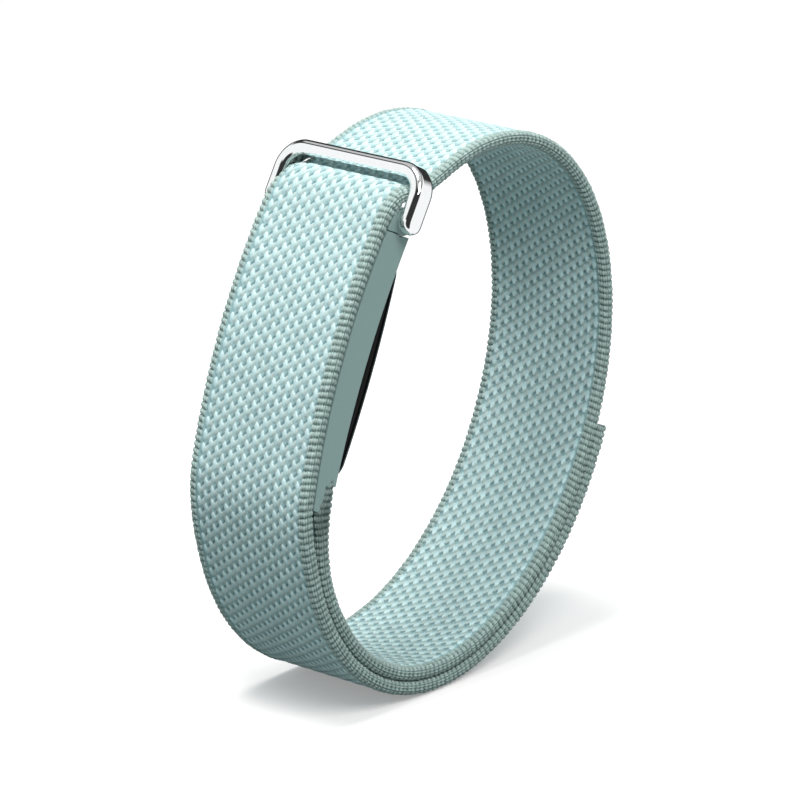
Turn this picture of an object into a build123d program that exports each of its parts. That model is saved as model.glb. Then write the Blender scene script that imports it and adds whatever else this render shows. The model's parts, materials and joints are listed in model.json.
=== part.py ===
from build123d import *
from math import asin, cos, degrees, radians, sin, sqrt
import os

# Fitness tracker band: one knit strap that winds around the wrist, through a steel ring and
# back over a sensor pod. Millimetres, +Z up, X along the wrist. The origin is the centre of
# the wrist opening. The pod stands on the -Y side, and its long axis leans towards +Y.

# ---------------------------------------------------------------- driving dimensions
lean = 24.0                 # angle between the pod's long axis and +Z

wrist_depth = 56.2          # wrist opening, from the pod's side to the far side
wrist_height = 74.0         # wrist opening, along the pod's long axis
strap_width = 21.6
strap_thickness = 1.85
layer_gap = 0.25            # between the two layers of the strap
strap_clearance = 0.3       # between the strap and the rigid pieces beside it

inner_start_angle = 232.0   # where the inner layer joins the wrist oval
bend_start_angle = 118.0    # where the strap leaves the oval for the ring
outer_start_angle = 227.0   # where the outer layer joins its oval
tail_hinge_angle = 330.0    # where the tail peels from
tail_end_angle = 364.6
tail_joint_gap = 0.2
inner_end_slope = (0.1, -1) # direction in which the inner layer leaves the pod

pod_rise = 0.58             # pod's crown outside the wrist oval
pod_crown_radius = 96.7
pod_crown_u = 2.0           # place of the crown along the pod
pod_inset = 0.3             # strap's edge beyond the pod's side
pod_depth = 4.75            # case, from its crown to its rim
pod_tip = -19.4             # lower end of the case's tongue
rim_radius = 140.0
rim_crown_u = -1.5

cavity_side = 1.3           # case wall beside the cavity
cavity_bottom_wall = 7.0    # case wall below the cavity
cavity_corner = 2.5
cavity_floor_drop = 2.2     # cavity floor below the crown

cover_top_wall = 0.85       # case wall between the rail's slot and the back cover
cover_bottom_wall = 4.0     # and below the cover
cover_side = 0.8            # case wall beside the cover
cover_corner = 3.2
cover_seat = 0.1            # gap around the cover
cover_wall = 0.8
cover_base_drop = 4.45      # cover's base below the crown
dome_height = 5.12
dome_edge = 3.1             # radius round the dome
dome_arch_radius = 150.0    # crown of the dome, along the pod
gasket_thickness = 0.3
gasket_width = 1.0

window_width = 7.0
window_length = 11.0
window_corner = 3.0
window_fit = 0.05
contact_radius = 1.2
contact_drop = 6.3          # contact below the cover's upper end

ring_hinge_drop = 4.53      # hinge axis of the ring, in from the pod's crown
ring_hinge_rise = 5.75      # hinge axis above the cavity
ring_depth = 3.3
ring_bar = 2.15             # width of the ring's top bar and legs
ring_reach = 5.875          # from the hinge axis to the underside of the top bar
ring_side_gap = 0.3         # between the strap and the ring's legs
ring_outer_corner = 4.4
ring_inner_corner = 0.8
ring_edge = 0.4
pin_radius = 1.05
pin_running_fit = 0.05

# centre line of the strap round the ring's top bar: n from the ring's hinge, and u from the
# strap's place close under the bar
bend_entry = (3.2, 1.1)
bend_under_bar = (1.2, -0.35)
bend_exit = (-0.5, -0.6)
hump_reach = 0.8            # crest of the fold, out from the ring's front face
hump_drop = 1.2
fold_inset = 0.44           # foot of the fold, in from the strap's line over the pod
fold_drop = 2.8
leave_drop = 2.7            # the strap joins its line over the pod this far below the hinge
land_rise = 2.4             # and leaves it this far above the pod's lower tip

boss_radius = 1.9           # upper link, round the ring's pin
boss_gap = 0.15             # between the upper link and the case
nose_rise = 1.25            # link's upper end above the hinge, under the strap
rim_drop = 1.85             # case's upper end below the hinge
rail_clearance = 0.1
rail_stop_wall = 0.8        # case wall that closes the slots on the +X side
rail_stem = 0.9
rail_reach = 0.9           # rail's stem below the upper link
rail_head = 1.8
rail_head_length = 0.6
rail_drop = 3.48            # rail, plate and hook, in from the pod's crown
plate_drop = 4.48
hook_drop = 2.78
plate_thickness = 0.6       # lower link
plate_length = 3.5
hook_tip = 3.1              # hook above the case's lower tip
hook_rise = 2.0
hook_head = 1.2
hook_head_length = 0.7

stitch_radius = 0.2
stitch_count = 9
stitch_margin = 2.2         # pod's side to the outermost stitch
stitch_drop = 4.68          # in from the pod's crown
stitch_tip = 1.1            # above the case's lower tip
stitch_length = 1.4

patch_thickness = 0.35      # hook patch under the tail
patch_inset = 0.2           # depth of its seat in the tail
patch_margin = 2.0          # strap's edge to the patch
patch_start_angle = 338.0
patch_end_angle = 361.5

coil_thickness = 0.35
coil_margin = 0.6           # coil inside the battery's sides
coil_band = 3.5
coil_corner = 2.0
ferrite_thickness = 0.3
ferrite_margin = 0.3
ferrite_corner = 2.2
battery_side_gap = 0.8
battery_end_gap = 0.5
battery_length = 17.0
battery_thickness = 2.9
battery_corner = 1.6
foam_thickness = 0.3
foam_margin = 1.5
board_thickness = 0.6
board_margin = 0.3          # board to the cover and the case
board_corner = 4.4
sensor_board_thickness = 0.4
sensor_board_margin = 1.0   # beyond the window, the contact and the connector
sensor_board_corner = 2.5
connector_width = 6.0
connector_length = 2.2
connector_gap = 0.4         # below the window
shield_side = 6.8
shield_height = 1.1
shield_wall = 0.15
shield_side_gap = 1.8       # from the cavity's wall
shield_battery_gap = 1.5
processor_side = 5.0
processor_height = 0.8
chip_height = 0.7
chip_side_gap = 4.3         # from the cavity's wall to the chips' centres
memory_rise = 0.9           # above the battery's upper end
memory_size = (3.0, 4.0)
power_rise = 1.4
power_size = (2.6, 2.6)
motion_rise = -6.1
motion_size = (2.0, 2.5)
led_side = 1.2
led_height = 0.5
led_spacing = 1.8
led_margin = 0.3            # from the green LEDs to the baffle
infrared_width = 0.8
diode_side = 1.8
diode_height = 0.4
cell_margin = 0.2           # from the baffle to what is in its cells
sensor_gap = 0.2            # between the LEDs and the window
baffle_wall = 0.5
baffle_gap = 0.15          # between the baffle and the window
baffle_corner = 1.0
motor_radius = 3.5
motor_height = 2.7
motor_wall = 0.2
motor_side_gap = 1.1        # from the cavity's wall
motor_end_gap = 1.3
motor_battery_gap = 2.0
shaft_radius = 0.3
shaft_fit = 0.03
rotor_radius = 3.0
rotor_thickness = 1.5
hub_radius = 0.8
flex_thickness = 0.15
antenna_width = 11.0
antenna_height = 1.9
battery_flex_width = 4.0
battery_flex_reach = 1.2

# ---------------------------------------------------------------- places worked out from them
# n points from the pod towards the wrist and u up along the pod, both in the YZ plane.
normal = Vector(0, cos(radians(lean)), -sin(radians(lean)))
side = Plane(origin=(0, 0, 0), x_dir=normal, z_dir=(1, 0, 0))
half_strap = strap_thickness / 2
pod_width = strap_width - 2 * pod_inset
pod_half = pod_width / 2


def level(height):
    """Plane across the pod, this far out from the wrist's centre, with local axes X and u."""
    return Plane(origin=normal * -height, x_dir=(1, 0, 0), z_dir=normal * -1)


def oval(offset, start, size):
    """Arc of the wrist oval, grown by an offset."""
    return EllipticalCenterArc((0, 0), wrist_depth / 2 + offset, wrist_height / 2 + offset,
                               start_angle=start, arc_size=size)


def arc_n(centre, radius, u):
    """n of a point at u on the pod side of a circle."""
    return centre[0] - sqrt(radius ** 2 - (u - centre[1]) ** 2)


crown = wrist_depth / 2 + pod_rise
cavity_bottom = pod_tip + cavity_bottom_wall
battery_top = cavity_bottom + battery_end_gap + battery_length
motor_u = battery_top + motor_battery_gap + motor_radius
cavity_top = motor_u + motor_radius + motor_end_gap
hinge_u = cavity_top + ring_hinge_rise
cover_top = hinge_u - boss_radius - rail_reach - rail_head_length - cover_top_wall
cover_bottom = pod_tip + cover_bottom_wall
contact_u = cover_top - contact_drop
ring_hinge_n = ring_hinge_drop - crown
rail_n = rail_drop - crown
plate_n = plate_drop - crown
hook_n = hook_drop - crown
hook_u = pod_tip + hook_tip
stitch_n = stitch_drop - crown
stitch_u = pod_tip + stitch_tip
stitch_spacing = (pod_width - 2 * stitch_margin) / (stitch_count - 1)
patch_width = strap_width - 2 * patch_margin
crown_centre = (pod_crown_radius - crown, pod_crown_u)
rim_centre = (rim_radius - crown + pod_depth, rim_crown_u)
cover_radius = pod_crown_radius + strap_clearance + half_strap     # strap over the pod
floor_h = crown - cavity_floor_drop
cover_base_h = crown - cover_base_drop
dome_top_h = cover_base_h - dome_height
cover_width = pod_width - 2 * (cover_side + cover_seat)
cover_length = cover_top - cover_bottom
cover_mid = (cover_top + cover_bottom) / 2
cavity_width = pod_width - 2 * cavity_side
cavity_length = cavity_top - cavity_bottom
cavity_mid = (cavity_top + cavity_bottom) / 2
nose_u = hinge_u + nose_rise
rim_top_u = hinge_u - rim_drop
rail_head_u = hinge_u - boss_radius - rail_reach
recess_radius = boss_radius + boss_gap
bar_under_u = hinge_u + ring_reach                                # underside of the top bar
ring_inner_width = strap_width + 2 * ring_side_gap
rail_end_x = pod_half - rail_stop_wall - rail_clearance

# strap centre lines, in the (n, u) plane
under_bar_u = bar_under_u - layer_gap - half_strap
hump_n = ring_hinge_n - ring_depth / 2 - hump_reach
fold_n = arc_n(crown_centre, cover_radius, hinge_u)
leave_u = hinge_u - leave_drop
land_u = pod_tip + land_rise
leave_angle = 180 - degrees(asin((leave_u - pod_crown_u) / cover_radius))
land_angle = 180 - degrees(asin((land_u - pod_crown_u) / cover_radius))
outer_offset = strap_thickness + layer_gap + half_strap

with BuildLine() as inner_path:
    inner_arc = oval(half_strap, inner_start_angle, 360 + bend_start_angle - inner_start_angle)
    Spline((plate_n, hook_u + plate_thickness), inner_arc @ 0, tangents=[inner_end_slope, inner_arc % 0])

with BuildLine() as pod_path:
    pod_arc = CenterArc(crown_centre, cover_radius, leave_angle, land_angle - leave_angle)

with BuildLine() as bend_path:
    Spline(inner_arc @ 1,
           (ring_hinge_n + bend_entry[0], under_bar_u + bend_entry[1]),
           (ring_hinge_n + bend_under_bar[0], under_bar_u + bend_under_bar[1]),
           (ring_hinge_n + bend_exit[0], under_bar_u + bend_exit[1]),
           (hump_n, under_bar_u - hump_drop),
           (fold_n + fold_inset, under_bar_u - fold_drop),
           pod_arc @ 0,
           tangents=[inner_arc % 1, pod_arc % 0])

with BuildLine() as outer_path:
    outer_arc = oval(outer_offset, outer_start_angle, tail_hinge_angle - outer_start_angle)
    Spline(pod_arc @ 1, outer_arc @ 0, tangents=[pod_arc % 1, outer_arc % 0])

with BuildLine() as tail_path:
    tail_gap_angle = degrees(tail_joint_gap / (wrist_height / 2))
    oval(outer_offset, tail_hinge_angle + tail_gap_angle,
         tail_end_angle - tail_hinge_angle - tail_gap_angle)

with BuildLine() as patch_path:
    oval(strap_thickness + layer_gap + patch_inset - patch_thickness / 2, patch_start_angle,
         patch_end_angle - patch_start_angle)


def finish(piece, name):
    """Name a piece and write its file."""
    piece.part.label = name
    export_step(piece.part, f"parts/{name}.step")


def hook_profile(grow):
    """Section of the lower link's hook, grown by a clearance on every side."""
    with Locations(((plate_n + hook_n) / 2, hook_u)):
        Rectangle(abs(plate_n - hook_n) + plate_thickness + 2 * grow, plate_thickness + 2 * grow)
    with Locations((hook_n, hook_u + hook_rise / 2)):
        Rectangle(plate_thickness + 2 * grow, hook_rise + plate_thickness + 2 * grow)
    with Locations((hook_n, hook_u + hook_rise + hook_head_length / 2)):
        Rectangle(hook_head + 2 * grow, hook_head_length + 2 * grow)


def rail_profile(grow):
    """Section of the upper link's rail, grown by a clearance on every side."""
    stem_u = hinge_u - pin_radius
    with Locations((rail_n, (stem_u + rail_head_u) / 2)):
        Rectangle(rail_stem + 2 * grow, stem_u - rail_head_u + 2 * grow)
    with Locations((rail_n, rail_head_u - rail_head_length / 2)):
        Rectangle(rail_head + 2 * grow, rail_head_length + 2 * grow)


def plate_profile():
    """Section of the lower link's plate, inside the end of the strap."""
    with Locations((plate_n, hook_u - plate_length / 2)):
        Rectangle(plate_thickness, plate_length + plate_thickness)


def dome_profile():
    """Section of the back cover along the pod, with its crowned top."""
    reach = cover_length
    top_centre = (-dome_top_h - dome_arch_radius, cover_mid)
    with BuildLine() as profile:
        far = (top_centre[0] + sqrt(dome_arch_radius ** 2 - reach ** 2), cover_mid + reach)
        near = (far[0], cover_mid - reach)
        ThreePointArc(far, (-dome_top_h, cover_mid), near)
        Polyline(near, (-cover_base_h, cover_mid - reach),
                 (-cover_base_h, cover_mid + reach), far)
    make_face(profile.edges())


def stitch_places():
    """Line of stitches across the end of the strap."""
    return GridLocations(stitch_spacing, 1, stitch_count, 1)


# ---------------------------------------------------------------- strap
with BuildSketch() as bend_section:
    trace(bend_path.line, line_width=strap_thickness)
    trace(pod_path.line, line_width=strap_thickness)

with BuildPart() as lower_link:
    with BuildSketch(side.offset(-pod_half)):
        hook_profile(0)
        plate_profile()
    extrude(amount=pod_half + rail_end_x)
    with BuildSketch(level(-plate_n - plate_thickness)):
        with Locations((0, stitch_u)):
            with stitch_places():
                Circle(stitch_radius)
    extrude(amount=2 * plate_thickness, mode=Mode.SUBTRACT)

with BuildPart() as end_stitches:
    with BuildSketch(level(-stitch_n)):
        with Locations((0, stitch_u)):
            with stitch_places():
                Circle(stitch_radius)
    extrude(amount=stitch_length / 2, both=True)

with BuildPart() as strap_inner_run:
    with BuildSketch(side):
        trace(inner_path.line, line_width=strap_thickness)
    extrude(amount=strap_width / 2, both=True)
    with BuildSketch(side.offset(-pod_half)):
        hook_profile(0)
        plate_profile()
    extrude(amount=pod_half + rail_end_x, mode=Mode.SUBTRACT)
    add(end_stitches.part, mode=Mode.SUBTRACT)

with BuildPart() as strap_outer_run:
    with BuildSketch(side):
        add(bend_section.sketch)
        trace(outer_path.line, line_width=strap_thickness)
    extrude(amount=strap_width / 2, both=True)

with BuildPart() as hook_patch:
    with BuildSketch(side):
        trace(patch_path.line, line_width=patch_thickness)
    extrude(amount=patch_width / 2, both=True)

with BuildPart() as strap_tail:
    with BuildSketch(side):
        trace(tail_path.line, line_width=strap_thickness)
    extrude(amount=strap_width / 2, both=True)
    add(hook_patch.part, mode=Mode.SUBTRACT)

# ---------------------------------------------------------------- ring and upper link
with BuildPart() as clasp_ring:
    with BuildSketch(level(-ring_hinge_n - ring_depth / 2)):
        with Locations((0, hinge_u)):
            RectangleRounded(ring_inner_width + 2 * ring_bar, 2 * (ring_reach + ring_bar),
                             ring_outer_corner)
            RectangleRounded(ring_inner_width, 2 * ring_reach, ring_inner_corner,
                             mode=Mode.SUBTRACT)
    extrude(amount=ring_depth)
    with BuildSketch(side):
        with Locations((ring_hinge_n, hinge_u)):
            Circle(ring_depth / 2)
            Rectangle(ring_depth, ring_reach + ring_bar, align=(Align.CENTER, Align.MIN))
    extrude(amount=ring_inner_width / 2 + ring_bar, both=True, mode=Mode.INTERSECT)
    fillet(clasp_ring.edges().filter_by(GeomType.CIRCLE).filter_by(
        lambda edge: edge.radius == ring_depth / 2), ring_edge)

with BuildPart() as ring_pin:
    with BuildSketch(side):
        with Locations((ring_hinge_n, hinge_u)):
            Circle(pin_radius)
    extrude(amount=ring_inner_width / 2, both=True)

with BuildPart() as upper_link:
    with BuildSketch(side):
        with BuildLine():
            nose_base_u = rim_top_u + boss_gap
            nose_base = (arc_n(crown_centre, pod_crown_radius, nose_base_u), nose_base_u)
            nose_side = (arc_n(crown_centre, pod_crown_radius, hinge_u), hinge_u)
            nose_top = (arc_n(crown_centre, pod_crown_radius, nose_u), nose_u)
            ThreePointArc(nose_base, nose_side, nose_top)
            Polyline(nose_top, (ring_hinge_n - boss_radius, nose_u),
                     (ring_hinge_n - boss_radius, hinge_u),
                     (ring_hinge_n, hinge_u), (ring_hinge_n, nose_base_u), nose_base)
        make_face()
        with Locations((ring_hinge_n, hinge_u)):
            Circle(boss_radius)
            Circle(pin_radius + pin_running_fit, mode=Mode.SUBTRACT)
    extrude(amount=pod_half, both=True)
    with BuildSketch(side.offset(-pod_half)):
        rail_profile(0)
    extrude(amount=pod_half + rail_end_x)

# ---------------------------------------------------------------- pod shell
with BuildPart() as pod_case:
    with BuildSketch(side):
        with BuildLine():
            outer_top = (arc_n(crown_centre, pod_crown_radius, rim_top_u), rim_top_u)
            outer_tip = (arc_n(crown_centre, pod_crown_radius, pod_tip), pod_tip)
            rim_top = (arc_n(rim_centre, rim_radius, rim_top_u), rim_top_u)
            rim_tip = (arc_n(rim_centre, rim_radius, pod_tip), pod_tip)
            ThreePointArc(outer_top, (-crown, pod_crown_u), outer_tip)
            Line(outer_tip, rim_tip)
            ThreePointArc(rim_tip, (pod_depth - crown, rim_crown_u), rim_top)
            Line(rim_top, outer_top)
        make_face()
        with Locations((ring_hinge_n, hinge_u)):
            Circle(recess_radius, mode=Mode.SUBTRACT)
        trace(inner_path.line, line_width=strap_thickness + 2 * rail_clearance,
              mode=Mode.SUBTRACT)
        with Locations((plate_n + crown / 2, hook_u + plate_thickness - crown / 2)):
            Rectangle(crown, crown + 2 * rail_clearance, mode=Mode.SUBTRACT)
    extrude(amount=pod_half, both=True)
    with BuildSketch(level(cover_base_h + gasket_thickness)):
        with Locations((0, cover_mid)):
            RectangleRounded(cover_width + 2 * cover_seat, cover_length + 2 * cover_seat,
                             cover_corner + cover_seat)
    extrude(amount=-cover_base_h, mode=Mode.SUBTRACT)
    with BuildSketch(level(floor_h)):
        with Locations((0, cavity_mid)):
            RectangleRounded(cavity_width, cavity_length, cavity_corner)
    extrude(amount=-floor_h, mode=Mode.SUBTRACT)
    with BuildSketch(side.offset(-pod_half)):
        hook_profile(rail_clearance)
        rail_profile(rail_clearance)
    extrude(amount=pod_half + rail_end_x + rail_clearance, mode=Mode.SUBTRACT)

with BuildPart() as cover_gasket:
    with BuildSketch(level(cover_base_h)):
        with Locations((0, cover_mid)):
            RectangleRounded(cover_width, cover_length, cover_corner)
            RectangleRounded(cover_width - 2 * gasket_width, cover_length - 2 * gasket_width,
                             cover_corner - gasket_width, mode=Mode.SUBTRACT)
    extrude(amount=gasket_thickness)

with BuildPart() as back_cover:
    with BuildSketch(level(cover_base_h)):
        with Locations((0, cover_mid)):
            RectangleRounded(cover_width, cover_length, cover_corner)
    extrude(amount=-dome_height)
    with BuildSketch(side):
        dome_profile()
    extrude(amount=cover_width, both=True, mode=Mode.INTERSECT)
    fillet(back_cover.faces().sort_by(Axis((0, 0, 0), normal))[-1].edges(), dome_edge)
    offset(amount=-cover_wall,
           openings=back_cover.faces().sort_by(Axis((0, 0, 0), normal))[0])
    with BuildSketch(level(dome_top_h)):
        with Locations((0, cover_mid)):
            RectangleRounded(window_width, window_length, window_corner)
        with Locations((0, contact_u)):
            Circle(contact_radius + window_fit)
    extrude(amount=2 * cover_wall, both=True, mode=Mode.SUBTRACT)

with BuildPart() as optical_window:
    with BuildSketch(level(dome_top_h + cover_wall)):
        with Locations((0, cover_mid)):
            RectangleRounded(window_width - 2 * window_fit, window_length - 2 * window_fit,
                             window_corner - window_fit)
    extrude(amount=-cover_wall)
    with BuildSketch(side):
        dome_profile()
    extrude(amount=window_width, both=True, mode=Mode.INTERSECT)

# ---------------------------------------------------------------- power stack, from the case floor
battery_width = cavity_width - 2 * battery_side_gap
battery_u = battery_top - battery_length / 2
coil_width = battery_width - 2 * coil_margin
coil_length = battery_length - 2 * coil_margin
ferrite_h = floor_h - coil_thickness
battery_h = ferrite_h - ferrite_thickness
foam_h = battery_h - battery_thickness
board_h = foam_h - foam_thickness

with BuildPart() as charging_coil:
    with BuildSketch(level(floor_h)):
        with Locations((0, battery_u)):
            RectangleRounded(coil_width, coil_length, coil_corner + coil_band)
            RectangleRounded(coil_width - 2 * coil_band, coil_length - 2 * coil_band,
                             coil_corner, mode=Mode.SUBTRACT)
    extrude(amount=-coil_thickness)

with BuildPart() as ferrite_sheet:
    with BuildSketch(level(ferrite_h)):
        with Locations((0, battery_u)):
            RectangleRounded(coil_width + 2 * ferrite_margin, coil_length + 2 * ferrite_margin,
                             ferrite_corner)
    extrude(amount=-ferrite_thickness)

with BuildPart() as battery_cell:
    with BuildSketch(level(battery_h)):
        with Locations((0, battery_u)):
            RectangleRounded(battery_width, battery_length, battery_corner)
    extrude(amount=-battery_thickness)

with BuildPart() as battery_foam:
    with BuildSketch(level(foam_h)):
        with Locations((0, battery_u)):
            Rectangle(battery_width - 2 * foam_margin, battery_length - 2 * foam_margin)
    extrude(amount=-foam_thickness)

with BuildPart() as battery_flex:
    with BuildSketch(side):
        with BuildLine():
            Polyline((-board_h, battery_top),
                     (-battery_h + battery_thickness / 2, battery_top),
                     (-battery_h + battery_thickness / 2, battery_top + flex_thickness),
                     (-board_h - flex_thickness, battery_top + flex_thickness),
                     (-board_h - flex_thickness, battery_top + battery_flex_reach),
                     (-board_h, battery_top + battery_flex_reach),
                     close=True)
        make_face()
    extrude(amount=battery_flex_width / 2, both=True)

# ---------------------------------------------------------------- boards and what is on them
board_face_h = board_h - board_thickness
inner_edge = dome_edge - cover_wall
board_depth = dome_edge - dome_height + cover_base_h - board_face_h
board_inset = cover_wall + inner_edge - sqrt(inner_edge ** 2 - board_depth ** 2) + board_margin
board_top = cover_top - board_inset
board_bottom = cavity_bottom + board_margin
board_width = cover_width - 2 * board_inset
sensor_board_h = dome_top_h + cover_wall + sensor_gap + led_height + sensor_board_thickness
sensor_face_h = sensor_board_h - sensor_board_thickness
connector_u = cover_mid - window_length / 2 - connector_gap - connector_length / 2
sensor_board_top = contact_u + contact_radius + sensor_board_margin
sensor_board_bottom = connector_u - connector_length / 2 - sensor_board_margin
shield_x = cavity_width / 2 - shield_side_gap - shield_side / 2
shield_u = battery_top + shield_battery_gap + shield_side / 2
chip_x = cavity_width / 2 - chip_side_gap
baffle_width = window_width - 2 * baffle_wall
baffle_length = window_length - 2 * baffle_wall
cell_width = baffle_width - 2 * baffle_wall
middle_cell = led_spacing + led_side + 2 * led_margin
end_cell = (baffle_length - middle_cell - 4 * baffle_wall) / 2
end_cell_spacing = baffle_length - end_cell - 2 * baffle_wall
infrared_spacing = cell_width - infrared_width - 2 * cell_margin
diode_spacing = cell_width - diode_side - 2 * cell_margin

with BuildPart() as main_board:
    with BuildSketch(level(board_h)):
        with Locations((0, (board_top + board_bottom) / 2)):
            RectangleRounded(board_width, board_top - board_bottom, board_corner)
    extrude(amount=-board_thickness)

with BuildPart() as shield_can:
    with BuildSketch(level(board_h)):
        with Locations((shield_x, shield_u)):
            Rectangle(shield_side, shield_side)
    extrude(amount=shield_height)
    with BuildSketch(level(board_h)):
        with Locations((shield_x, shield_u)):
            Rectangle(shield_side - 2 * shield_wall, shield_side - 2 * shield_wall)
    extrude(amount=shield_height - shield_wall, mode=Mode.SUBTRACT)

with BuildPart() as processor_chip:
    with BuildSketch(level(board_h)):
        with Locations((shield_x, shield_u)):
            Rectangle(processor_side, processor_side)
    extrude(amount=processor_height)

with BuildPart() as memory_chip:
    with BuildSketch(level(board_face_h)):
        with Locations((chip_x, battery_top + memory_rise)):
            Rectangle(*memory_size)
    extrude(amount=-chip_height)

with BuildPart() as power_chip:
    with BuildSketch(level(board_face_h)):
        with Locations((-chip_x, battery_top + power_rise)):
            Rectangle(*power_size)
    extrude(amount=-chip_height)

with BuildPart() as motion_chip:
    with BuildSketch(level(board_face_h)):
        with Locations((-chip_x, battery_top + motion_rise)):
            Rectangle(*motion_size)
    extrude(amount=-chip_height)

with BuildPart() as board_connector:
    with BuildSketch(level(board_face_h)):
        with Locations((0, connector_u)):
            Rectangle(connector_width, connector_length)
    extrude(amount=sensor_board_h - board_face_h)

with BuildPart() as sensor_board:
    with BuildSketch(level(sensor_board_h)):
        with Locations((0, (sensor_board_top + sensor_board_bottom) / 2)):
            RectangleRounded(window_width + 2 * sensor_board_margin,
                             sensor_board_top - sensor_board_bottom, sensor_board_corner)
    extrude(amount=-sensor_board_thickness)

with BuildPart() as green_leds:
    with BuildSketch(level(sensor_face_h)):
        with Locations((0, cover_mid)):
            with GridLocations(1, led_spacing, 1, 2):
                Rectangle(led_side, led_side)
    extrude(amount=-led_height)

with BuildPart() as infrared_leds:
    with BuildSketch(level(sensor_face_h)):
        with Locations((0, cover_mid)):
            with GridLocations(infrared_spacing, 1, 2, 1):
                Rectangle(infrared_width, led_side)
    extrude(amount=-led_height)

with BuildPart() as photodiodes:
    with BuildSketch(level(sensor_face_h)):
        with Locations((0, cover_mid)):
            with GridLocations(diode_spacing, end_cell_spacing, 2, 2):
                Rectangle(diode_side, diode_side)
    extrude(amount=-diode_height)

with BuildPart() as light_baffle:
    with BuildSketch(level(sensor_face_h)):
        with Locations((0, cover_mid)):
            RectangleRounded(baffle_width, baffle_length, baffle_corner)
            with GridLocations(1, end_cell_spacing, 1, 2):
                Rectangle(cell_width, end_cell, mode=Mode.SUBTRACT)
            Rectangle(cell_width, middle_cell, mode=Mode.SUBTRACT)
    extrude(amount=-(sensor_face_h - dome_top_h - cover_wall - baffle_gap))

with BuildPart() as temperature_contact:
    with BuildSketch(level(sensor_face_h)):
        with Locations((0, contact_u)):
            Circle(contact_radius)
    extrude(amount=-(sensor_face_h - dome_top_h - window_fit))

with BuildPart() as antenna_flex:
    with BuildSketch(side):
        with Locations((-floor_h + antenna_height / 2, cavity_top - flex_thickness / 2)):
            Rectangle(antenna_height, flex_thickness)
    extrude(amount=antenna_width / 2, both=True)

# ---------------------------------------------------------------- vibration motor
motor_x = motor_side_gap + motor_radius - cavity_width / 2

with BuildPart() as motor_cup:
    with BuildSketch(level(floor_h)):
        with Locations((motor_x, motor_u)):
            Circle(motor_radius)
    extrude(amount=-(motor_height - motor_wall))
    with BuildSketch(level(floor_h - motor_wall)):
        with Locations((motor_x, motor_u)):
            Circle(motor_radius - motor_wall)
    extrude(amount=-motor_height, mode=Mode.SUBTRACT)

with BuildPart() as motor_plate:
    with BuildSketch(level(floor_h - motor_height + motor_wall)):
        with Locations((motor_x, motor_u)):
            Circle(motor_radius)
    extrude(amount=-motor_wall)

with BuildPart() as motor_shaft:
    with BuildSketch(level(floor_h - motor_wall)):
        with Locations((motor_x, motor_u)):
            Circle(shaft_radius)
    extrude(amount=-(motor_height - 2 * motor_wall))

with BuildPart() as motor_rotor:
    with BuildSketch(level(floor_h - motor_height / 2)):
        with Locations((motor_x, motor_u)):
            Circle(rotor_radius)
            with Locations((0, rotor_radius)):
                Rectangle(2 * rotor_radius, 2 * rotor_radius, mode=Mode.SUBTRACT)
            Circle(hub_radius)
            Circle(shaft_radius + shaft_fit, mode=Mode.SUBTRACT)
    extrude(amount=rotor_thickness / 2, both=True)

# ---------------------------------------------------------------- files
os.makedirs("parts", exist_ok=True)
pieces = {
    "strap_inner_run": strap_inner_run, "strap_outer_run": strap_outer_run,
    "end_stitches": end_stitches, "lower_link": lower_link, "upper_link": upper_link,
    "strap_tail": strap_tail, "hook_patch": hook_patch,
    "clasp_ring": clasp_ring, "ring_pin": ring_pin,
    "pod_case": pod_case, "back_cover": back_cover, "cover_gasket": cover_gasket,
    "optical_window": optical_window, "temperature_contact": temperature_contact,
    "charging_coil": charging_coil, "ferrite_sheet": ferrite_sheet,
    "battery_cell": battery_cell, "battery_foam": battery_foam, "battery_flex": battery_flex,
    "main_board": main_board, "shield_can": shield_can, "processor_chip": processor_chip,
    "memory_chip": memory_chip, "power_chip": power_chip, "motion_chip": motion_chip,
    "board_connector": board_connector, "sensor_board": sensor_board,
    "green_leds": green_leds, "infrared_leds": infrared_leds, "photodiodes": photodiodes,
    "light_baffle": light_baffle, "antenna_flex": antenna_flex,
    "motor_cup": motor_cup, "motor_plate": motor_plate, "motor_shaft": motor_shaft,
    "motor_rotor": motor_rotor,
}
for name, piece in pieces.items():
    finish(piece, name)
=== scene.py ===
import json
import math

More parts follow.
